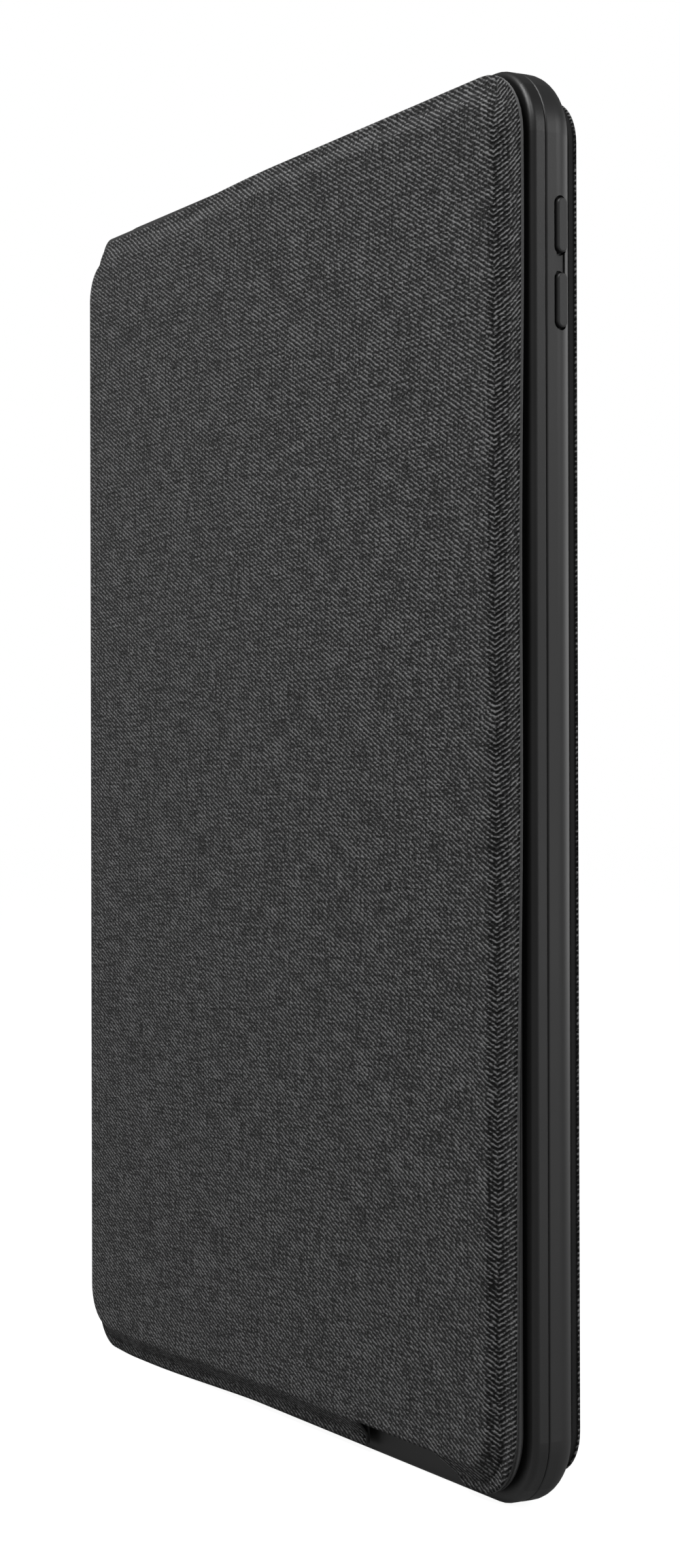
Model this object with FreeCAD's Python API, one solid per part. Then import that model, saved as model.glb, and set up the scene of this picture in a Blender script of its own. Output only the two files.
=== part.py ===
import FreeCAD, Part
import os
from FreeCAD import Vector

# Tablet and tray
tablet_h = 250.6
tablet_w = 174.1
tablet_t = 7.5
tablet_corner = 10.0
bay_clearance = 0.25
tray_wall = 2.95
tray_floor = 1.0
lip_t = 0.7
lip_over = 1.6
bumper_depth = 3.0
groove_r = 0.35
tray_edge_r = 1.1
tray_back_r = 4.4
liner_t = 0.1

# Front cover
skin_t = 0.6
lining_t = 0.3
raise_h = 2.3
bevel_run = 2.8
cover_gap = 1.0
flange_side = 4.0
flange_ends = 2.4
flange_inset_side = 2.0
flange_inset_top = 0.8
flange_inset_bottom = 1.4
cover_corner = 12.5
panel_corner = 9.0
notch_near = 18.0
notch_far = 55.5

# Spine and back leaves
spine_gap = 2.2
spine_t = 1.7
spine_inset_ends = 12.0
crease_gap = 0.3
leaf_gap = 0.4
leaf_lining = 0.2
leaf_board = 1.0
leaf_skin = 0.4
leaf_inset_side = 3.2
leaf_inset_ends = 4.5
leaf_corner = 9.0
stand_share = 0.46

# Keyboard
kb_depth = 116.0
kb_margin = 0.35
kb_wall = 1.6
kb_corner = 7.4
switch_travel = 2.0
kb_floor = 0.4
kb_cavity = 1.7
kb_plate = 0.7
pcb_t = 0.3
membrane_t = 0.2
key_skirt_t = 0.4
key_skirt_w = 0.6
key_travel = 0.65
key_left = 0.25
key_proud = key_travel + key_left
key_gap = 0.3
key_between = 2.2
key_corner = 1.6
key_edge = 7.0
row_units = 15.0
row_count = 6
battery_zone = 15.4
battery_share = 0.5
rail_offset = 24.0
rail_w = 18.0
rail_groove = 10.0
rail_end = 12.0
closer_l = 16.0
closer_w = 4.1
light_in = 8.0

# Buttons, openings, small parts
button_len = 9.7
button_w = 2.1
button_proud = 0.55
button_travel = 0.35
button_gap = 0.45
waist_depth = 0.85
volume_up_below_top = 29.2
volume_down_below_top = 42.5
button_behind_groove = 3.2
top_button_from_side = 24.0
port_w = 13.0
port_t = 5.6
plug_land = 0.8
jack_w = 8.0
jack_from_side = 22.0
speaker_w = 30.0
speaker_t = 2.4
speaker_from_mid = 46.0
camera_r = 5.5
camera_in = 16.0
magnet_l = 20.0
magnet_w = 5.0

# Levels through the thickness, from the front of the raised panel to the back
total_t = (raise_h + skin_t + lining_t + cover_gap + lip_t + liner_t + bay_clearance + tablet_t
           + tray_floor + leaf_gap + leaf_lining + leaf_board + leaf_skin)
y_front = -total_t / 2
y_pocket = y_front + skin_t
y_flange = y_front + raise_h
y_flange_in = y_flange + skin_t
y_lining = y_flange_in + lining_t
y_tray = y_lining + cover_gap
y_glass = y_tray + lip_t
y_liner = y_glass + tablet_t + bay_clearance
y_floor = y_liner + liner_t
y_tray_back = y_floor + tray_floor
y_leaf = y_tray_back + leaf_gap
y_leaf_board = y_leaf + leaf_lining
y_leaf_skin = y_leaf_board + leaf_board
y_back = y_leaf_skin + leaf_skin
y_groove = y_tray + bumper_depth

# Widths and heights
tray_w = tablet_w + 2 * (bay_clearance + tray_wall)
tray_h = tablet_h + 2 * (bay_clearance + tray_wall)
tray_corner = tablet_corner + tray_wall
total_w = tray_w + spine_gap + spine_t + button_proud
x_left = -total_w / 2
x_right = total_w / 2 - button_proud
x_tray = x_right - tray_w
x_mid = x_right - tray_w / 2
x_flange = x_right - flange_inset_side
z_flange_top = tray_h - flange_inset_top
z_flange_low = flange_inset_bottom
x_cover_left = x_left + spine_t + crease_gap
x_panel_left = x_left + 0.5
x_leaf_right = x_right - leaf_inset_side
x_crease = x_leaf_right - stand_share * (x_leaf_right - x_left)

# Keyboard housing, inside the pocket of the raised panel
x_kb_right = x_flange - flange_side - bevel_run - kb_margin
x_kb_left = x_kb_right - kb_depth
z_kb_low = z_flange_low + flange_ends + bevel_run + kb_margin
z_kb_top = z_flange_top - flange_ends - bevel_run - kb_margin
y_kb_floor = y_pocket + kb_floor
y_kb_plate = y_kb_floor + kb_cavity
y_kb_top = y_kb_plate + kb_plate
y_key_top = y_kb_top + key_proud
kb_radii = [1.5, kb_corner, kb_corner, 1.5]
row_pitch = (kb_depth - key_edge - battery_zone) / row_count
unit = (z_kb_top - z_kb_low - 2 * key_edge) / row_units


def outline(x0, x1, z0, z1, y, r):
    """Closed wire of a rectangle with rounded corners in the plane y; r is one radius or four."""
    radii = r if isinstance(r, (list, tuple)) else [r, r, r, r]
    corners = [(x0, z0, 1, 1), (x1, z0, -1, 1), (x1, z1, -1, -1), (x0, z1, 1, -1)]
    k = 1 - 0.5 ** 0.5
    edges = []
    starts = []
    ends = []
    for i, (cx, cz, sx, sz) in enumerate(corners):
        q = radii[i]
        along = Vector(cx + sx * q, y, cz)
        up = Vector(cx, y, cz + sz * q)
        middle = Vector(cx + sx * q * k, y, cz + sz * q * k)
        first, last = (up, along) if i % 2 == 0 else (along, up)
        starts.append(first)
        ends.append(last)
        edges.append(Part.Arc(first, middle, last).toShape() if q > 0 else None)
    loop = []
    for i in range(4):
        if edges[i]:
            loop.append(edges[i])
        loop.append(Part.LineSegment(ends[i], starts[(i + 1) % 4]).toShape())
    return Part.Wire(loop)


def plate(x0, x1, z0, z1, y0, y1, r=0.0):
    """Rounded plate between two levels."""
    face = Part.Face(outline(x0, x1, z0, z1, y0, r))
    return face.extrude(Vector(0, y1 - y0, 0))


def box(x0, x1, y0, y1, z0, z1):
    return Part.makeBox(x1 - x0, y1 - y0, z1 - z0, Vector(x0, y0, z0))


def disc(x, z, y0, y1, r):
    return Part.makeCylinder(r, y1 - y0, Vector(x, y0, z), Vector(0, 1, 0))


def pill_x(x0, x1, y, z, length, width):
    """Stadium-shaped bar along X, its long side along Z."""
    half = (length - width) / 2
    low = Part.makeCylinder(width / 2, x1 - x0, Vector(x0, y, z - half), Vector(1, 0, 0))
    high = Part.makeCylinder(width / 2, x1 - x0, Vector(x0, y, z + half), Vector(1, 0, 0))
    core = box(x0, x1, y - width / 2, y + width / 2, z - half, z + half)
    return core.fuse([low, high]).removeSplitter()


def pill_z(z0, z1, x, y, length, width):
    """Stadium-shaped bar along Z, its long side along X."""
    half = (length - width) / 2
    left = Part.makeCylinder(width / 2, z1 - z0, Vector(x - half, y, z0))
    right = Part.makeCylinder(width / 2, z1 - z0, Vector(x + half, y, z0))
    core = box(x - half, x + half, y - width / 2, y + width / 2, z0, z1)
    return core.fuse([left, right]).removeSplitter()


def rim_edges(shape, level, x0, x1, z0, z1):
    """Edges of the outer outline x0..x1, z0..z1 at one level."""
    found = []
    for edge in shape.Edges:
        b = edge.BoundBox
        flat = abs(b.YMin - level) < 1e-4 and abs(b.YMax - level) < 1e-4
        side = min(abs(b.XMin - x0), abs(b.XMax - x1), abs(b.ZMin - z0), abs(b.ZMax - z1)) < 1e-3
        if flat and side:
            found.append(edge)
    return found


def group(shapes):
    return shapes[0] if len(shapes) == 1 else Part.makeCompound(shapes)


# Tray

def tray_cuts():
    """Openings through the tray's walls for plug, jack, speakers and buttons."""
    y_port = y_glass + tablet_t / 2
    deep = tray_wall + 2 * bay_clearance + 1
    cuts = [pill_z(-1, deep, x_mid, y_port, port_w, port_t)]
    for side in (-1, 1):
        cuts.append(pill_z(-1, deep, x_mid + side * speaker_from_mid, y_port + 0.6, speaker_w, speaker_t))
    cuts.append(pill_z(tray_h - deep, tray_h + 1, x_tray + jack_from_side, y_port, jack_w, port_t))
    return cuts


def button_level():
    return y_groove + button_behind_groove


def volume_centres():
    return [tray_h - volume_up_below_top, tray_h - volume_down_below_top]


def button_slots():
    """Pockets through the wall for the button pills, and the wider seats inside for their heads."""
    y = button_level()
    slots = []
    long = button_len + 2 * button_gap
    wide = button_w + 2 * button_gap
    seat = tray_wall / 2
    head = 2 * (0.5 + button_gap)
    for z in volume_centres():
        slots.append(pill_x(x_right - tray_wall - 1, x_right + 1, y, z, long, wide))
        slots.append(pill_x(x_right - tray_wall - 1, x_right - seat, y, z,
                            button_len + head, button_w + head))
    z_mid = sum(volume_centres()) / 2
    half = button_w / 2
    slots.append(box(x_right - waist_depth, x_right + 1, y - half, y + half, z_mid - 2.4, z_mid + 2.4))
    x = x_right - top_button_from_side
    slots.append(pill_z(tray_h - tray_wall - 1, tray_h + 1, x, y, long, wide))
    slots.append(pill_z(tray_h - tray_wall - 1, tray_h - seat, x, y, button_len + head, button_w + head))
    return slots


def magnet_places():
    """Centres of the magnet pairs that hold the stand leaf, near its free edge."""
    x = x_leaf_right - 2.5 * magnet_w
    z_step = tray_h / 4
    return [(x, z_step), (x, 2 * z_step)]


def sides(ring):
    """The four sides of a ring, mitred at its corners and parted beside its plug holes.

    No piece then bends round the bay, and only a short one bends round each plug.
    """
    reach = 2 * tray_corner
    turns = [(x_tray, 0, 1, 1), (x_right, 0, -1, 1), (x_right, tray_h, -1, -1), (x_tray, tray_h, 1, -1)]
    outer = [Vector(x - sx, y_tray - 1, z - sz) for x, z, sx, sz in turns]
    inner = [Vector(x + sx * reach, y_tray - 1, z + sz * reach) for x, z, sx, sz in turns]
    plugs = [(x_mid, port_w), None, (x_tray + jack_from_side, jack_w), None]
    bars = []
    for i in range(4):
        j = (i + 1) % 4
        wedge = Part.Face(Part.makePolygon([outer[i], outer[j], inner[j], inner[i], outer[i]]))
        bar = ring.common(wedge.extrude(Vector(0, y_tray_back - y_tray + 2, 0)))
        if plugs[i]:
            x, w = plugs[i]
            half = w / 2 + plug_land
            middle = box(x - half, x + half, y_tray - 1, y_tray_back + 1, -1, tray_h + 1)
            bars += bar.common(middle).Solids
            bar = bar.cut(middle)
        bars += bar.Solids
    return group(bars)


def make_tray():
    """Rear wall band with its plate, front bumper frame and what lies in them."""
    inner = bay_clearance
    bx0 = x_tray + tray_wall
    bx1 = x_right - tray_wall
    bz0 = tray_wall
    bz1 = tray_h - tray_wall
    bay_r = tablet_corner
    shell = plate(x_tray, x_right, 0, tray_h, y_groove, y_tray_back, tray_corner)
    shell = shell.makeFillet(tray_back_r, rim_edges(shell, y_tray_back, x_tray, x_right, 0, tray_h))
    shell = shell.makeFillet(groove_r, rim_edges(shell, y_groove, x_tray, x_right, 0, tray_h))
    wall = shell.cut(plate(bx0, bx1, bz0, bz1, y_groove - 1, y_tray_back + 1, bay_r))
    wall = wall.cut(tray_cuts() + button_slots())
    floor = shell.common(plate(bx0, bx1, bz0, bz1, y_floor, y_tray_back + 1, bay_r))
    camera = camera_place()
    floor = floor.cut(disc(camera[0], camera[1], y_floor - 1, y_tray_back + 1, camera_r))
    pockets = []
    magnets = []
    for x, z in magnet_places():
        spot = (x - magnet_w / 2, x + magnet_w / 2, z - magnet_l / 2, z + magnet_l / 2)
        pockets.append(plate(*spot, y_tray_back - tray_floor / 2, y_tray_back + 1))
        magnets.append(plate(*spot, y_tray_back - tray_floor / 2, y_tray_back))
    floor = floor.cut(pockets)

    frame = plate(x_tray, x_right, 0, tray_h, y_tray, y_groove, tray_corner)
    frame = frame.makeFillet(tray_edge_r, rim_edges(frame, y_tray, x_tray, x_right, 0, tray_h))
    frame = frame.makeFillet(groove_r, rim_edges(frame, y_groove, x_tray, x_right, 0, tray_h))
    frame = frame.cut(plate(bx0, bx1, bz0, bz1, y_glass, y_groove + 1, bay_r))
    over = lip_over
    frame = frame.cut(plate(bx0 + over, bx1 - over, bz0 + over, bz1 - over, y_tray - 1, y_glass + 1,
                            bay_r - over))
    frame = frame.cut(tray_cuts())

    liner = plate(bx0 + inner, bx1 - inner, bz0 + inner, bz1 - inner, y_liner, y_floor, bay_r - inner)
    liner = liner.cut(disc(camera[0], camera[1], y_liner - 1, y_floor + 1, camera_r + 1))
    pad = plate(x_tray + 8, x_crease - 6, 14, tray_h - 14, y_tray_back, y_leaf_board, 4)
    return {"tray_wall": sides(wall), "tray_plate": floor, "bumper_frame": sides(frame), "tray_liner": liner,
            "tray_magnets": group(magnets), "adhesive_pad": pad}


def camera_place():
    return (x_right - tray_wall - camera_in, tray_h - tray_wall - camera_in)


def make_buttons():
    """Pills that stand proud of the wall, each with a head behind the wall."""
    y = button_level()
    seat = tray_wall / 2
    inner = tray_wall + bay_clearance - button_travel - 0.1
    out = {}
    for name, z in zip(("volume_up_button", "volume_down_button"), volume_centres()):
        pill = pill_x(x_right - inner, x_right + button_proud, y, z, button_len, button_w)
        crown = [e for e in pill.Edges if abs(e.BoundBox.XMin - x_right - button_proud) < 1e-4]
        pill = pill.makeFillet(0.35, crown)
        head = pill_x(x_right - inner, x_right - seat - 0.1, y, z, button_len + 1, button_w + 1)
        out[name] = pill.fuse(head).removeSplitter()
    x = x_right - top_button_from_side
    pill = pill_z(tray_h - inner, tray_h + button_proud, x, y, button_len, button_w)
    crown = [e for e in pill.Edges if abs(e.BoundBox.ZMin - tray_h - button_proud) < 1e-4]
    pill = pill.makeFillet(0.35, crown)
    head = pill_z(tray_h - inner, tray_h - seat - 0.1, x, y, button_len + 1, button_w + 1)
    out["top_button"] = pill.fuse(head).removeSplitter()
    return out


# Back leaves

def make_leaves():
    z0 = leaf_inset_ends
    z1 = tray_h - leaf_inset_ends
    x0 = x_left + spine_t + crease_gap
    r = leaf_corner
    fixed_r = [1.0, 0, 0, 1.0]
    free_r = [0, r, r, 0]
    inset = 0.3
    board_r = [0, r - inset, r - inset, 0]
    stop = x_crease - crease_gap / 2
    start = x_crease + crease_gap / 2
    out = {}
    out["back_board"] = plate(x0, stop - inset, z0 + inset, z1 - inset, y_leaf_board, y_leaf_skin, fixed_r)
    out["back_fabric"] = plate(x0, stop, z0, z1, y_leaf_skin, y_back, fixed_r)
    board = plate(start + inset, x_leaf_right - inset, z0 + inset, z1 - inset,
                  y_leaf_board, y_leaf_skin, board_r)
    skin = plate(start, x_leaf_right, z0, z1, y_leaf_skin, y_back, free_r)
    lining = plate(start + inset, x_leaf_right - inset, z0 + inset, z1 - inset, y_leaf, y_leaf_board, board_r)
    camera = camera_place()
    hole = disc(camera[0], camera[1], y_leaf - 1, y_back + 1, camera_r + 1.5)
    magnets = []
    for x, z in magnet_places():
        spot = (x - magnet_w / 2, x + magnet_w / 2, z - magnet_l / 2, z + magnet_l / 2)
        magnets.append(plate(*spot, y_leaf_board, y_leaf_board + leaf_board * 0.6))
    out["stand_board"] = board.cut([hole] + magnets)
    out["stand_fabric"] = skin.cut(hole)
    out["stand_lining"] = lining.cut(hole)
    out["stand_magnets"] = group(magnets)
    ring = disc(camera[0], camera[1], y_leaf, y_back, camera_r + 1.5)
    out["camera_eyelet"] = ring.cut(disc(camera[0], camera[1], y_leaf - 1, y_back + 1, camera_r + 0.5))
    return out


# Spine

def make_spine():
    """Upright strip between the two creases: textile outside, stiffener, lining inside."""
    z0 = spine_inset_ends
    z1 = tray_h - spine_inset_ends
    y0 = y_flange + crease_gap
    y1 = y_back - crease_gap
    outer = 0.5
    inner = 0.3
    skin = box(x_left, x_left + outer, y0, y1, z0, z1)
    board = box(x_left + outer, x_left + spine_t - inner, y0 + 0.5, y1 - 0.5, z0 + 2, z1 - 2)
    lining = box(x_left + spine_t - inner, x_left + spine_t, y0, y1, z0, z1)
    return {"spine_fabric": skin, "spine_board": board, "spine_lining": lining}


# Front cover

def pan(x0, x1, z0, z1, level, rise, run, r, left_run):
    """Raised panel: a foot outline at one level lofted to a smaller outline in front of it."""
    foot = outline(x0, x1, z0, z1, level, [r, r, r, r])
    top_r = max(r - run * 0.4, 1.0)
    top = outline(x0 + left_run, x1 - run, z0 + run, z1 - run, level - rise, [top_r] * 4)
    return Part.makeLoft([foot, top], True, True)


def make_front():
    """Formed textile, its deck, lining, rail and magnets."""
    x1 = x_flange - flange_side
    z0 = z_flange_low + flange_ends
    z1 = z_flange_top - flange_ends
    r = panel_corner
    flange_r = [5.0, cover_corner, cover_corner, 5.0]
    flange = plate(x_cover_left, x_flange, z_flange_low, z_flange_top, y_flange, y_flange_in, flange_r)
    raised = pan(x_panel_left, x1, z0, z1, y_flange, raise_h, bevel_run, r, 0.6)
    core = plate(x_cover_left, x1, z0, z1, y_flange, y_flange_in, [r - 1.5, r, r, r - 1.5])
    skin = flange.fuse([raised, core]).removeSplitter()
    t = skin_t
    pocket = pan(x_panel_left + 2 * t, x1 - t, z0 + t, z1 - t,
                 y_flange, raise_h - t, bevel_run - t, r - t, 0.1)
    mouth = plate(x_cover_left + t, x1 - t, z0 + t, z1 - t,
                  y_flange, y_flange_in, [r - 2, r - t, r - t, r - 2])
    skin = skin.cut([pocket, mouth])
    nx0 = x_flange - notch_far
    nx1 = x_flange - notch_near
    skin = skin.cut(box(nx0, nx1, y_pocket, y_flange_in + 1, z_flange_low - 1, z_kb_low + 0.01))

    deck = plate(x_cover_left + 1.5, x_kb_left - kb_margin, z_kb_low, z_kb_top, y_pocket, y_flange_in,
                 [kb_corner, 1.0, 1.0, kb_corner])
    magnets = []
    for i in range(4):
        z = z_kb_low + (i + 0.5) * (z_kb_top - z_kb_low) / 4
        x = rail_centre()
        spot = (x - magnet_w / 2, x + magnet_w / 2, z - magnet_l / 2, z + magnet_l / 2)
        magnets.append(plate(*spot, y_flange_in - 1.4, y_flange_in))
    deck = deck.cut(magnets)

    lining = plate(x_cover_left, x_flange - 0.4, z_flange_low + 0.4, z_flange_top - 0.4,
                   y_flange_in, y_lining, [5.0, cover_corner, cover_corner, 5.0])
    gap = kb_margin
    lining = lining.cut(plate(x_kb_left - gap, x_kb_right + gap, z_kb_low - gap, z_kb_top + gap,
                              y_flange_in - 1, y_lining + 1, kb_radii))
    lining = lining.cut(box(nx0, nx1, y_flange_in - 1, y_lining + 1, z_flange_low - 1, z_kb_low))
    return {"front_fabric": skin, "front_deck": deck, "rail_magnets": group(magnets),
            "front_lining": lining, "stand_rail": make_rail()}


def rail_centre():
    return x_kb_left - rail_offset


def make_rail():
    """Low rubber rail with one groove, in which the tray's long edge stands."""
    x = rail_centre()
    top = y_key_top
    z0 = z_kb_low + rail_end
    z1 = z_kb_top - rail_end
    rail = plate(x - rail_w / 2, x + rail_w / 2, z0, z1, y_lining, top, 2.5)
    groove = box(x - rail_groove / 2, x + rail_groove / 2, y_lining + 0.4, top + 1, z0 - 1, z1 + 1)
    return rail.cut(groove)


# Keyboard

def rows():
    """Each row from the open edge of the case to the spine: list of (node, width in units)."""
    plain = [
        [("keys_modifiers", w) for w in (1, 1, 1, 1.25)] + [("key_space", 5)]
        + [("keys_modifiers", w) for w in (1.25, 1, 1.15, 1.2, 1.15)],
        [("key_shift_left", 2.25)] + [("keys_lower", 1)] * 10 + [("key_shift_right", 2.75)],
        [("key_caps", 1.75)] + [("keys_home", 1)] * 11 + [("key_enter", 2.25)],
        [("key_tab", 1.5)] + [("keys_upper", 1)] * 12 + [("keys_upper", 1.5)],
        [("keys_number", 1)] * 13 + [("key_backspace", 2)],
        [("keys_function", row_units / 14)] * 14,
    ]
    return plain


def key_spots():
    """Node and rectangle of every key; the row starts at the top of the standing case."""
    spots = []
    for r, row in enumerate(rows()):
        x0 = x_kb_right - key_edge - (r + 1) * row_pitch
        z = z_kb_top - key_edge
        for node, width in row:
            spots.append((node, x0 + key_between / 2, x0 + row_pitch - key_between / 2,
                          z - width * unit + key_between / 2, z - key_between / 2))
            z = z - width * unit
    return spots


def switch_place():
    """Middle of the switch on the housing's end wall, inside the notch."""
    return x_flange - notch_near - 12.0


def socket_place():
    return x_flange - notch_far + 13.0


def make_keyboard():
    y_mid = (y_kb_floor + y_kb_plate) / 2
    x0, x1, z0, z1 = x_kb_left, x_kb_right, z_kb_low, z_kb_top
    hollow_r = [1.0, kb_corner - kb_wall, kb_corner - kb_wall, 1.0]
    base = plate(x0, x1, z0, z1, y_pocket, y_kb_plate, kb_radii)
    base = base.cut(plate(x0 + kb_wall, x1 - kb_wall, z0 + kb_wall, z1 - kb_wall,
                          y_kb_floor, y_kb_plate + 1, hollow_r))
    sx = socket_place()
    kx = switch_place()
    base = base.cut(box(sx - 4.2, sx + 4.2, y_mid - 0.75, y_mid + 0.75, z0 - 1, z0 + kb_wall + 1))
    base = base.cut(box(kx - 2.6, kx + 2.6, y_mid - 0.7, y_mid + 0.7, z0 - 1, z0 + kb_wall + 1))

    sheet_r = [0.6, hollow_r[1], hollow_r[2], 0.6]
    outer = Part.Face(outline(x0, x1, z0, z1, y_kb_plate, kb_radii))
    holes = []
    caps = {}
    g = key_gap
    s = key_skirt_w
    y_skirt = y_kb_plate - 0.05 - key_skirt_t
    for node, kx0, kx1, kz0, kz1 in key_spots():
        holes.append(Part.Face(outline(kx0 - g, kx1 + g, kz0 - g, kz1 + g, y_kb_plate, key_corner + g)))
        cap = plate(kx0, kx1, kz0, kz1, y_skirt, y_key_top, key_corner)
        cap = cap.makeChamfer(0.2, rim_edges(cap, y_key_top, kx0, kx1, kz0, kz1))
        skirt = plate(kx0 - s, kx1 + s, kz0 - s, kz1 + s, y_skirt, y_kb_plate - 0.05, key_corner)
        caps.setdefault(node, []).append(cap.fuse(skirt).removeSplitter())
    lights = light_places()
    for x, z in lights:
        ring = Part.makeCircle(0.8, Vector(x, y_kb_plate, z), Vector(0, 1, 0))
        holes.append(Part.Face(Part.Wire(ring)))
    top = outer.cut(holes).Faces[0].extrude(Vector(0, kb_plate, 0))

    xk = x_kb_right - key_edge - row_count * row_pitch
    board = plate(xk - 2, x1 - kb_wall - 0.4, z0 + kb_wall + 7, z1 - kb_wall - 0.4, y_kb_floor,
                  y_kb_floor + pcb_t, sheet_r)
    sheet = plate(xk - 1, x1 - kb_wall - 0.9, z0 + kb_wall + 8, z1 - kb_wall - 0.9,
                  y_kb_floor + pcb_t, y_kb_floor + pcb_t + membrane_t, sheet_r)
    end = (1 - battery_share) / 2 * (z1 - z0)
    cell = plate(x0 + kb_wall + 0.4, xk - 2.6, z0 + end, z1 - end, y_kb_floor, y_kb_plate - 0.2, 1.5)
    socket = box(sx - 4.2, sx + 4.2, y_mid - 0.75, y_mid + 0.75, z0 + 0.2, z0 + kb_wall + 5)
    socket = socket.cut(box(sx - 3.8, sx + 3.8, y_mid - 0.45, y_mid + 0.45, z0, z0 + kb_wall + 4))
    rest = kx - switch_travel / 2
    knob = box(rest - 1.3, rest + 1.3, y_mid - 0.4, y_mid + 0.4, z0 - 0.7, z0 + kb_wall + 0.3)
    slide = box(rest - 3.0, rest + 3.0, y_mid - 0.55, y_mid + 0.55, z0 + kb_wall + 0.3, z0 + kb_wall + 2)
    lens = [disc(x, z, y_kb_plate, y_kb_top, 0.8) for x, z in lights]
    seal = []
    for x in (x0 + 4.5, x1 - 4.5):
        for z in (z0 + 4.5, z1 - 4.5):
            seal.append(disc(x, z, y_kb_top, y_key_top - 0.1, 2.2))
    closers = []
    for z in (z0 + 0.3 * (z1 - z0), z0 + 0.7 * (z1 - z0)):
        closers.append(plate(x1 - kb_wall - 0.5 - closer_w, x1 - kb_wall - 0.5, z - closer_l / 2, z + closer_l / 2,
                             y_kb_floor + pcb_t + membrane_t, y_kb_plate))
    out = {"keyboard_base": base, "key_plate": top, "circuit_board": board, "key_membrane": sheet,
           "battery": cell, "charging_socket": socket, "switch_knob": knob.fuse(slide).removeSplitter(),
           "indicator_lights": group(lens), "screen_bumpers": group(seal), "closing_magnets": group(closers)}
    for node, shapes in caps.items():
        out[node] = group(shapes)
    return out


def light_places():
    x = x_kb_left + light_in
    return [(x, z_kb_low + (1.5 + 0.6 * i) * light_in) for i in range(3)]


os.makedirs("parts", exist_ok=True)
nodes = {}
for made in (make_tray(), make_buttons(), make_leaves(), make_spine(), make_front(), make_keyboard()):
    nodes.update(made)
for name, shape in nodes.items():
    shape.exportStep("parts/" + name + ".step")
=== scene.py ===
import bpy
import math
from mathutils import Matrix, Vector


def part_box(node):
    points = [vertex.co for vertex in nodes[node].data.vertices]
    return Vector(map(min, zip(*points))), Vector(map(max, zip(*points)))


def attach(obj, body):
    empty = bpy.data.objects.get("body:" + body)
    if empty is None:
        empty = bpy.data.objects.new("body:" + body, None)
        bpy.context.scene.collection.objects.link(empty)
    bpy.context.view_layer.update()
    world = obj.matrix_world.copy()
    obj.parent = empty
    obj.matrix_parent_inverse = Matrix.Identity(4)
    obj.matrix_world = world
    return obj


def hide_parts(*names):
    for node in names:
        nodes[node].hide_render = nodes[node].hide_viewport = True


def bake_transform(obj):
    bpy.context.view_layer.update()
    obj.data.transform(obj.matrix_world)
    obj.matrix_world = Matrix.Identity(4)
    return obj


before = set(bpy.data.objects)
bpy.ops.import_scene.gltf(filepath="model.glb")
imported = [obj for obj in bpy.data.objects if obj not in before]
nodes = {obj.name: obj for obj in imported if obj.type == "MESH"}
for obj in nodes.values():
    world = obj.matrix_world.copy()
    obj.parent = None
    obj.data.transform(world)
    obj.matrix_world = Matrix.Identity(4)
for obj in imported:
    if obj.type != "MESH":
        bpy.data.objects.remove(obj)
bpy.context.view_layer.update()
scene = bpy.context.scene
scene.view_settings.view_transform = "Standard"
MM = 0.001

# Places taken from the CAD frame
skin_lo, skin_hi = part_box("front_fabric")
back_lo, back_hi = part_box("back_fabric")
stand_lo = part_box("stand_fabric")[0]
spine_lo, spine_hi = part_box("spine_fabric")
lining_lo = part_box("front_lining")[0]
x_left = spine_lo.x
x_flange = skin_hi.x
x_fold = (back_hi.x + stand_lo.x) / 2
y_face = skin_lo.y
y_back = back_hi.y
z_low = skin_lo.z
z_top = skin_hi.z
z_mid = (z_low + z_top) / 2

# Sizes of the formed front textile, judged from the photo at the CAD's scale
cloth_thick = 0.55 * MM
flange_seat = 0.6 * MM
flange_side = 4.0 * MM
flange_end = 2.4 * MM
flange_corner = 12.5 * MM
spine_inset = 0.5 * MM
spine_corner = 8.6 * MM
bevel_run = 2.8 * MM
panel_corner = 9.0 * MM
notch_near = 18.0 * MM
notch_far = 55.5 * MM
notch_slant = 5.0 * MM
bevel_slant = 4.0 * MM
y_flange = lining_lo.y - flange_seat
y_rise = y_face - y_flange
x_cut = x_left + spine_inset
notch_lo = x_flange - notch_far
notch_hi = x_flange - notch_near

# The textile's pattern: pitch and slope of its ranks, and how far from the free edge they turn back
rank_pitch = 0.93 * MM
rank_slope = 0.5
rank_turn = 4.4 * MM
warp_pitch = 1.3 * MM
# How much a step in depth counts along the cloth, where it runs down the bevel
depth_share = 0.8


def smooth(a, b, t):
    """Smooth step from 0 at a to 1 at b."""
    k = min(max((t - a) / (b - a), 0.0), 1.0)
    return k * k * (3 - 2 * k)


def mesh_object(name, verts, faces, soft=True):
    mesh = bpy.data.meshes.new(name)
    mesh.from_pydata(verts, [], faces)
    mesh.update()
    for poly in mesh.polygons:
        poly.use_smooth = soft
    obj = bpy.data.objects.new(name, mesh)
    scene.collection.objects.link(obj)
    return obj


def thicken(obj, thickness, offset):
    thick = obj.modifiers.new("thickness", "SOLIDIFY")
    thick.thickness = thickness
    thick.offset = offset
    return thick


# Materials

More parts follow.
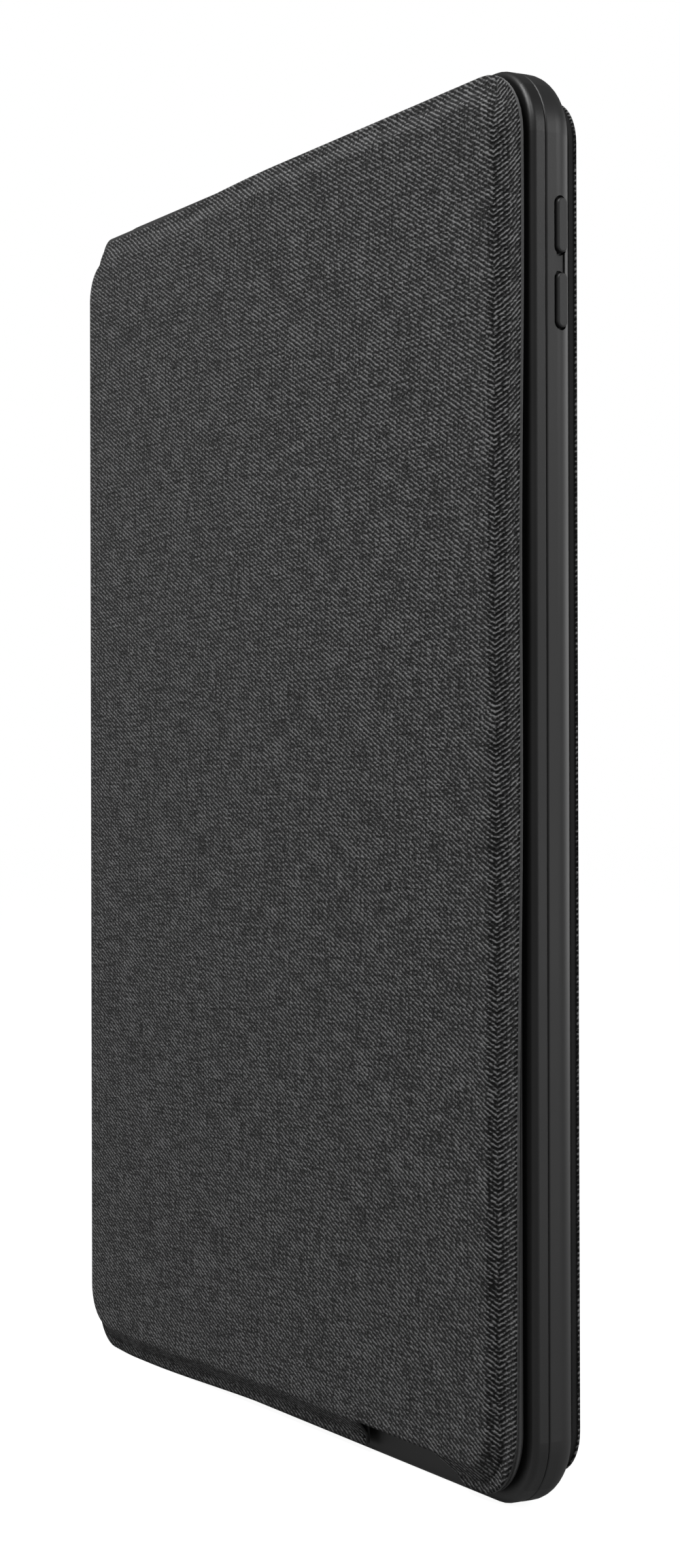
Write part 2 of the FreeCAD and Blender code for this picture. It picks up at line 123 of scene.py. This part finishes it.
class Graph:
    """Small helper to write a material's node tree line by line."""

    def __init__(self, name):
        self.mat = bpy.data.materials.new(name)
        self.mat.use_nodes = True
        self.tree = self.mat.node_tree
        self.tree.nodes.clear()
        out = self.add("ShaderNodeOutputMaterial")
        self.bsdf = self.add("ShaderNodeBsdfPrincipled")
        self.put(self.bsdf.outputs["BSDF"], out.inputs["Surface"])

    def add(self, kind, **settings):
        node = self.tree.nodes.new(kind)
        for key, value in settings.items():
            setattr(node, key, value)
        return node

    def put(self, value, socket):
        """A number or a colour stays on the socket, an output is linked to it."""
        if isinstance(value, (int, float, tuple)):
            socket.default_value = value
        else:
            self.tree.links.new(value, socket)

    def surface(self, levels):
        """Sets inputs of the one shader by their names."""
        for name, value in levels.items():
            self.put(value, self.bsdf.inputs[name])

    def math(self, op, a, b=0.0, c=0.0):
        node = self.add("ShaderNodeMath", operation=op)
        for socket, value in zip(node.inputs, (a, b, c)):
            self.put(value, socket)
        return node.outputs[0]

    def place(self):
        """The object's own coordinates, as a vector and as its three parts."""
        vector = self.add("ShaderNodeTexCoord").outputs["Object"]
        parts = self.add("ShaderNodeSeparateXYZ")
        self.put(vector, parts.inputs["Vector"])
        return vector, parts.outputs

    def join(self, x, y, z):
        node = self.add("ShaderNodeCombineXYZ")
        for socket, value in zip(node.inputs, (x, y, z)):
            self.put(value, socket)
        return node.outputs[0]

    def noise(self, vector, scale, detail=2.0, rough=0.5):
        node = self.add("ShaderNodeTexNoise")
        self.put(scale, node.inputs["Scale"])
        self.put(detail, node.inputs["Detail"])
        self.put(rough, node.inputs["Roughness"])
        self.put(vector, node.inputs["Vector"])
        return node.outputs[0]

    def ramp(self, value, stops):
        """Near-neutral greys, given as pairs of place and level."""
        node = self.add("ShaderNodeValToRGB")
        self.put(value, node.inputs[0])
        marks = node.color_ramp.elements
        while len(marks) < len(stops):
            marks.new(0.5)
        for mark, (at, level) in zip(marks, stops):
            mark.position = at
            mark.color = (level, level, level * 1.01, 1)
        return node.outputs[0]

    def bump(self, height, distance, strength):
        node = self.add("ShaderNodeBump")
        self.put(strength, node.inputs["Strength"])
        self.put(distance, node.inputs["Distance"])
        self.put(height, node.inputs["Height"])
        self.put(node.outputs["Normal"], self.bsdf.inputs["Normal"])


def textile(name, across, turn=None):
    """Melange weave: sloping ranks of short floats over warp and weft, with uneven yarns.

    Past the place named by turn the ranks slope the other way, as herringbone does.
    """
    g = Graph(name)
    vector, (x, y, z) = g.place()
    u = g.math("ADD", x, g.math("MULTIPLY", y, depth_share)) if across == "x" else y
    stray = g.math("MULTIPLY", g.math("SUBTRACT", g.noise(vector, 700.0), 0.5), 3.0)
    lean = u
    if turn is not None:
        lean = g.math("MULTIPLY", g.math("ABSOLUTE", g.math("SUBTRACT", u, turn)), -1.0)

    def wave(length, along):
        return g.math("SINE", g.math("MULTIPLY_ADD", along, math.tau / length, stray))

    def yarn(long_u, long_z, detail):
        place = g.join(g.math("DIVIDE", u, long_u), g.math("DIVIDE", z, long_z), y)
        return g.math("SUBTRACT", g.noise(place, 1.0, detail, 0.6), 0.5)

    rank = wave(rank_pitch, g.math("ADD", z, g.math("MULTIPLY", lean, rank_slope)))
    shares = [
        (rank, 0.34),
        (wave(warp_pitch, u), 0.02),
        (yarn(0.8 * MM, 0.5 * MM, 2.0), 1.7),
        (yarn(0.9 * MM, 6 * MM, 1.0), 0.7),
        (yarn(9 * MM, 0.55 * MM, 1.0), 0.8),
        (yarn(14 * MM, 14 * MM, 1.0), 0.1)]
    level = 0.5
    for part, share in shares:
        level = g.math("MULTIPLY_ADD", part, share, level)
    colour = g.ramp(level, [(0.1, 0.003), (0.4, 0.011), (0.62, 0.05), (0.92, 0.24)])
    g.surface({"Base Color": colour, "Roughness": 0.92, "Specular IOR Level": 0.15,
               "Sheen Weight": 0.12, "Sheen Roughness": 0.5})
    g.bump(level, 0.3 * MM, 0.8)
    return g.mat


def plastic(name, level, rough, grain=2600.0, depth=0.02 * MM):
    """Satin moulding with a fine grain and a faint cloud in colour and gloss."""
    g = Graph(name)
    vector = g.place()[0]
    fine = g.noise(vector, grain, 2.0)
    cloud = g.noise(vector, 40.0, 3.0)
    colour = g.ramp(cloud, [(0.3, level * 0.88), (0.7, level * 1.12)])
    g.surface({"Base Color": colour, "Roughness": g.math("MULTIPLY_ADD", cloud, 0.12, rough - 0.06),
               "Specular IOR Level": 0.5})
    g.bump(fine, depth, 0.6)
    return g.mat


def felt(name, level):
    """Brushed microfibre lining, also used for the textile's cut edge."""
    g = Graph(name)
    vector = g.place()[0]
    fine = g.noise(vector, 2200.0, 4.0, 0.7)
    cloud = g.noise(vector, 55.0, 3.0)
    both = g.math("ADD", g.math("MULTIPLY", fine, 0.6), g.math("MULTIPLY", cloud, 0.4))
    colour = g.ramp(both, [(0.25, level * 0.6), (0.75, level * 1.5)])
    g.surface({"Base Color": colour, "Roughness": 0.95, "Sheen Weight": level * 4})
    g.bump(fine, 0.12 * MM, 0.7)
    return g.mat


def metal(name, level, rough):
    """Plated or rolled metal."""
    g = Graph(name)
    fine = g.noise(g.place()[0], 900.0, 3.0)
    colour = g.ramp(fine, [(0.3, level * 0.85), (0.7, level)])
    g.surface({"Base Color": colour, "Metallic": 1.0, "Roughness": rough})
    return g.mat


cloth = textile("textile_front", "x", turn=x_flange - rank_turn + depth_share * y_face)
cloth_spine = textile("textile_spine", "y")
cut_edge = felt("textile_cut_edge", 0.07)
shell_mat = plastic("tray_satin", 0.015, 0.46)
soft_mat = plastic("tray_bumper_satin", 0.008, 0.44)
button_mat = plastic("button_satin", 0.020, 0.46)
housing_mat = plastic("keyboard_housing", 0.008, 0.6, 1800.0, 0.03 * MM)
key_mat = plastic("keycap", 0.032, 0.44, 3000.0, 0.015 * MM)
rail_mat = plastic("rail_rubber", 0.015, 0.7)
board_mat = plastic("stiffener_board", 0.008, 0.8)
pad_mat = plastic("adhesive_grey", 0.12, 0.7)
membrane_mat = plastic("membrane_silicone", 0.4, 0.6)
light_mat = plastic("indicator_clear", 0.6, 0.2)
lining_mat = felt("microfibre_lining", 0.035)
# The leaf's lining is the same microfibre as the other linings made nearly black: painted shade, so the gap
# between the tray and the leaf reads dark
leaf_painted_shade_lining_mat = felt("leaf_lining_painted_shade", 0.006)
magnet_mat = metal("magnet_plating", 0.6, 0.3)
socket_mat = metal("socket_steel", 0.55, 0.28)
cell_mat = metal("battery_foil", 0.5, 0.45)
circuit_mat = plastic("circuit_board", 0.03, 0.45)

# Every node that isn't named here is a keycap
dress = {
    "tray_wall": shell_mat, "tray_plate": shell_mat, "bumper_frame": soft_mat, "tray_liner": lining_mat,
    "tray_magnets": magnet_mat, "adhesive_pad": pad_mat, "back_board": board_mat, "back_fabric": cloth,
    "volume_up_button": button_mat, "volume_down_button": button_mat, "top_button": button_mat,
    "stand_board": board_mat, "stand_fabric": cloth, "stand_lining": leaf_painted_shade_lining_mat,
    "stand_magnets": magnet_mat, "camera_eyelet": soft_mat,
    "spine_fabric": cloth_spine, "spine_board": board_mat, "spine_lining": lining_mat,
    "front_deck": board_mat, "front_lining": lining_mat, "rail_magnets": magnet_mat, "stand_rail": rail_mat,
    "closing_magnets": magnet_mat, "screen_bumpers": rail_mat, "keyboard_base": housing_mat,
    "key_plate": housing_mat, "circuit_board": circuit_mat, "key_membrane": membrane_mat, "battery": cell_mat,
    "charging_socket": socket_mat, "indicator_lights": light_mat, "switch_knob": button_mat}
for name, obj in nodes.items():
    obj.data.materials.clear()
    obj.data.materials.append(dress.get(name, key_mat))


# Front textile: one formed sheet, made of rings from its cut edge to the middle of the raised panel

# Steps along a straight side, round a corner, along the notch and from the notch to the corner beside it
SIDE = 44
CORNER = 9
NOTCH = 16
TAIL = 10
# How many strips between rings the notch cuts away, counted from the cut edge
NOTCH_STRIPS = 8

# How far the cloth departs from a true shape, judged from its outline in the photo. The pairs are
# the start and the end of a smooth step: places in x, and for dip_ends shares of half the height.
dip_depth = 1.35 * MM
dip_x = (-0.002, -0.066)
dip_return = 0.5
dip_return_x = (-0.072, -0.090)
dip_ends = (0.55, 1.0)
free_x = (0.066, 0.090)
lean_mid = 0.45 * MM
lean_rise = 1.475 * MM
lean_bend = -0.575 * MM
ripple_depth = 0.16 * MM
ripple_rate = 61.0
ripple_start = 0.4
ripple_x = (0.078, 0.090)


def ring(x0, x1, z0, z1, r_left, r_right, notch_end):
    """Points round a rounded rectangle, the bottom side first, with marks at the notch's two ends."""
    marks = [x0 + r_left, notch_lo, notch_end, x1 - r_right]
    pts = []
    for a, b, n in zip(marks, marks[1:], (SIDE, NOTCH, TAIL)):
        pts += [(a + (b - a) * i / n, z0) for i in range(n)]
    corners = [(x1 - r_right, z0 + r_right, r_right, -90), (x1 - r_right, z1 - r_right, r_right, 0),
               (x0 + r_left, z1 - r_left, r_left, 90), (x0 + r_left, z0 + r_left, r_left, 180)]
    runs = [((x1, z0 + r_right), (x1, z1 - r_right)), ((x1 - r_right, z1), (x0 + r_left, z1)),
            ((x0, z1 - r_left), (x0, z0 + r_left)), None]
    for (cx, cz, r, start), run in zip(corners, runs):
        for i in range(CORNER):
            t = math.radians(start + 90 * i / CORNER)
            pts.append((cx + r * math.cos(t), cz + r * math.sin(t)))
        if run:
            (ax, az), (bx, bz) = run
            pts += [(ax + (bx - ax) * i / SIDE, az + (bz - az) * i / SIDE) for i in range(SIDE)]
    return pts


def settle(x, y, z):
    """The cloth's own unevenness: its ends dip towards the spine, its free edge leans and ripples."""
    end = abs(z - z_mid) / (z_top - z_mid)
    dip = smooth(*dip_x, x) * dip_depth
    if z < z_mid:
        dip *= 1 - dip_return * smooth(*dip_return_x, x)
    z -= dip * smooth(*dip_ends, end)
    free = smooth(*free_x, x)
    rise = (z - z_mid) / (z_top - z_mid)
    x += free * (lean_mid + lean_rise * rise + lean_bend * rise * rise)
    y += free * ripple_depth * math.sin(z * ripple_rate + ripple_start) * smooth(*ripple_x, x)
    return x, y, z


def flange_rings():
    """From the cut edge across the thin flange, as pairs of points and their place in y."""
    spine_step = 0.02 * MM
    tighten = 0.7
    rings = []
    for k, (share, lift) in enumerate([(0.0, 0.0), (0.35, 0.0), (0.8, 0.01), (0.93, 0.05)]):
        side = flange_side * share
        end = flange_end * share
        pts = ring(x_cut + spine_step * k, x_flange - side, z_low + end, z_top - end,
                   spine_corner, flange_corner - tighten * side, notch_hi - notch_slant * share)
        rings.append((pts, y_flange + y_rise * lift))
    return rings


def bevel_rings():
    """From the foot of the bevel over its rounded top to the rim of the flat panel."""
    spine_start = 0.1 * MM
    spine_run = 0.6 * MM
    tighten = 0.4
    steps = [(0.0, 0.12), (0.16, 0.24), (0.5, 0.56), (0.78, 0.84), (0.92, 0.95), (1.1, 0.99), (1.5, 1.0)]
    rings = []
    for share, lift in steps:
        run = bevel_run * share
        r = panel_corner - tighten * run
        pts = ring(x_cut + spine_start + spine_run * share, x_flange - flange_side - run,
                   z_low + flange_end + run, z_top - flange_end - run,
                   r, r, notch_hi - notch_slant - bevel_slant * min(share, 1))
        rings.append((pts, y_flange + y_rise * lift))
    return rings


def front_skin():
    rings = flange_rings() + bevel_rings()
    rim = rings[-1][0]
    n = len(rim)
    cx = (min(px for px, pz in rim) + max(px for px, pz in rim)) / 2
    cz = (min(pz for px, pz in rim) + max(pz for px, pz in rim)) / 2
    for share in (0.06, 0.16, 0.3, 0.5, 0.7, 0.88, 0.97):
        pts = [(cx + (px - cx) * (1 - share), cz + (pz - cz) * (1 - share)) for px, pz in rim]
        rings.append((pts, y_face))
    verts = [settle(px, y, pz) for pts, y in rings for px, pz in pts]
    verts.append((cx, y_face, cz))
    faces = []
    for k in range(len(rings) - 1):
        for i in range(n):
            if SIDE <= i < SIDE + NOTCH and k < NOTCH_STRIPS:
                continue
            j = (i + 1) % n
            faces.append((k * n + i, k * n + j, (k + 1) * n + j, (k + 1) * n + i))
    last = (len(rings) - 1) * n
    faces += [(last + i, last + (i + 1) % n, len(verts) - 1) for i in range(n)]
    obj = mesh_object("front_textile", verts, faces)
    obj.data.materials.append(cloth)
    obj.data.materials.append(cut_edge)
    thick = thicken(obj, cloth_thick, -1.0)
    thick.use_even_offset = False
    thick.material_offset_rim = 1
    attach(obj, "front_cover")
    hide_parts("front_fabric")


front_skin()


# Creases: strips of the same cloth, fixed in their bent rest shape where the cloth runs from one body to the
# next

crease_rows = 60
crease_thick = 0.3 * MM
crease_end = 0.1 * MM
crease_reach = 5.0 * MM
rear_r = 2.0 * MM
fold_proud = 0.1 * MM
fold_depth = 0.22 * MM


def crease(name, path, lo, hi, mat):
    """A strip with the given path as its section, over the height of the box from lo to hi."""
    z0 = lo.z + crease_end
    z1 = hi.z - crease_end
    n = len(path)
    verts = [(x, y, z0 + (z1 - z0) * k / crease_rows) for k in range(crease_rows + 1) for x, y in path]
    faces = []
    for k in range(crease_rows):
        for i in range(n - 1):
            a = k * n + i
            faces.append((a, a + 1, a + n + 1, a + n))
    obj = mesh_object(name, verts, faces)
    obj.data.materials.append(mat)
    thicken(obj, crease_thick, 0.0)
    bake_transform(obj)


def arc(cx, cy, r, a0, a1, n):
    turns = [math.radians(a0 + (a1 - a0) * i / n) for i in range(n + 1)]
    return [(cx + r * math.cos(t), cy + r * math.sin(t)) for t in turns]


rear = [(x_left + crease_reach, y_back)]
rear += arc(x_left + rear_r, y_back - rear_r, rear_r, 90, 180, 10)
rear += [(x_left, y_back - crease_reach)]
crease("rear_crease", rear, spine_lo, spine_hi,
       cloth_spine)

# Steps from the spine's outer corner in millimetres
fore_steps = [(0.02, 5.0), (0.02, 2.0), (0.05, 1.2), (0.15, 0.5), (0.3, -0.1), (0.5, -0.7)]
fore = [(x_left + dx * MM, y_flange + dy * MM) for dx, dy in fore_steps]
crease("front_crease", fore, spine_lo, spine_hi,
       cloth_spine)

# A shallow groove; its steps are in millimetres and its spread in square millimetres
fold_steps = [-2, -1.2, -0.8, -0.5, -0.25, 0, 0.25, 0.5, 0.8, 1.2, 2]
fold_spread = 0.3
fold = [(x_fold + d * MM, y_back + fold_proud - fold_depth * math.exp(-d * d / fold_spread))
        for d in fold_steps]
crease("stand_crease", fold, back_lo, back_hi,
       cloth)


# Floor and world: white to the camera, plain grey light to the object

floor_half = 6.0
floor_white = 0.95
floor_shine = 0.12
world_white = 1.0
world_light = 0.16


def white_floor():
    corners = [(-floor_half, -floor_half, 0), (floor_half, -floor_half, 0),
               (floor_half, floor_half, 0), (-floor_half, floor_half, 0)]
    floor = mesh_object("floor", corners, [(0, 1, 2, 3)], False)
    g = Graph("floor_white")
    path = g.add("ShaderNodeLightPath")
    glow = g.math("MULTIPLY", path.outputs["Is Glossy Ray"], floor_shine)
    for ray in ("Is Camera Ray", "Is Transmission Ray"):
        glow = g.math("MULTIPLY_ADD", path.outputs[ray], floor_white, glow)
    g.surface({"Base Color": (0.3, 0.3, 0.3, 1), "Roughness": 1.0, "Specular IOR Level": 0.0,
               "Emission Color": (1, 1, 1, 1), "Emission Strength": glow})
    floor.data.materials.append(g.mat)


def white_world():
    world = bpy.data.worlds.new("studio")
    scene.world = world
    world.use_nodes = True
    tree = world.node_tree
    tree.nodes.clear()
    out = tree.nodes.new("ShaderNodeOutputWorld")
    back = tree.nodes.new("ShaderNodeBackground")
    back.inputs["Color"].default_value = (1, 1, 1, 1)
    path = tree.nodes.new("ShaderNodeLightPath")
    mix = tree.nodes.new("ShaderNodeMix")
    mix.data_type = "FLOAT"
    mix.inputs[2].default_value = world_light
    mix.inputs[3].default_value = world_white
    tree.links.new(path.outputs["Is Camera Ray"], mix.inputs[0])
    tree.links.new(mix.outputs[0], back.inputs["Strength"])
    tree.links.new(back.outputs[0], out.inputs["Surface"])


white_floor()
white_world()


# Lamps

def lamp(name, place, target, size, power, tall=None):
    """A rectangular lamp at place that looks at target; square unless tall is given."""
    data = bpy.data.lights.new(name, "AREA")
    data.energy = power
    data.shape = "RECTANGLE"
    data.size = size
    data.size_y = tall or size
    obj = bpy.data.objects.new(name, data)
    scene.collection.objects.link(obj)
    obj.location = place
    aim = Vector(target) - Vector(place)
    obj.rotation_euler = aim.to_track_quat("-Z", "Y").to_euler()


lamp("key", (0.1, -0.46, 0.84), (0, 0, 0.30), 0.4, 5.1)
lamp("side", (0.82, 0.7, 0.6), (0.09, 0, 0.23), 0.25, 2.8, 0.4)
lamp("rear", (0.0, 0.9, 0.16), (0.09, 0, 0.1), 0.7, 2.5)
lamp("low", (0.75, 0.36, 0.03), (0.09, 0, 0.0), 0.12, 0.6)
lamp("corner", (0.5, -0.2, 0.8), (0.09, 0, 0.26), 0.12, 1.3)


# Camera, solved from corners and edges in the photo

camera_place = Vector((0.50829, -0.27096, 0.12649))
azimuth = math.radians(61.24)
pitch = math.radians(0.288)
roll = math.radians(-0.147)


def photo_camera():
    level = math.cos(pitch)
    ahead = Vector((-math.sin(azimuth) * level, math.cos(azimuth) * level, math.sin(pitch)))
    flat_right = Vector((math.cos(azimuth), math.sin(azimuth), 0))
    flat_up = flat_right.cross(ahead)
    right = math.cos(roll) * flat_right + math.sin(roll) * flat_up
    up = -math.sin(roll) * flat_right + math.cos(roll) * flat_up
    data = bpy.data.cameras.new("photo_camera")
    data.sensor_width = 36.0
    data.lens = 64.49
    data.clip_start = 0.01
    obj = bpy.data.objects.new("photo_camera", data)
    scene.collection.objects.link(obj)
    pose = Matrix((right, up, -ahead)).transposed().to_4x4()
    pose.translation = camera_place
    obj.matrix_world = pose
    scene.camera = obj


photo_camera()
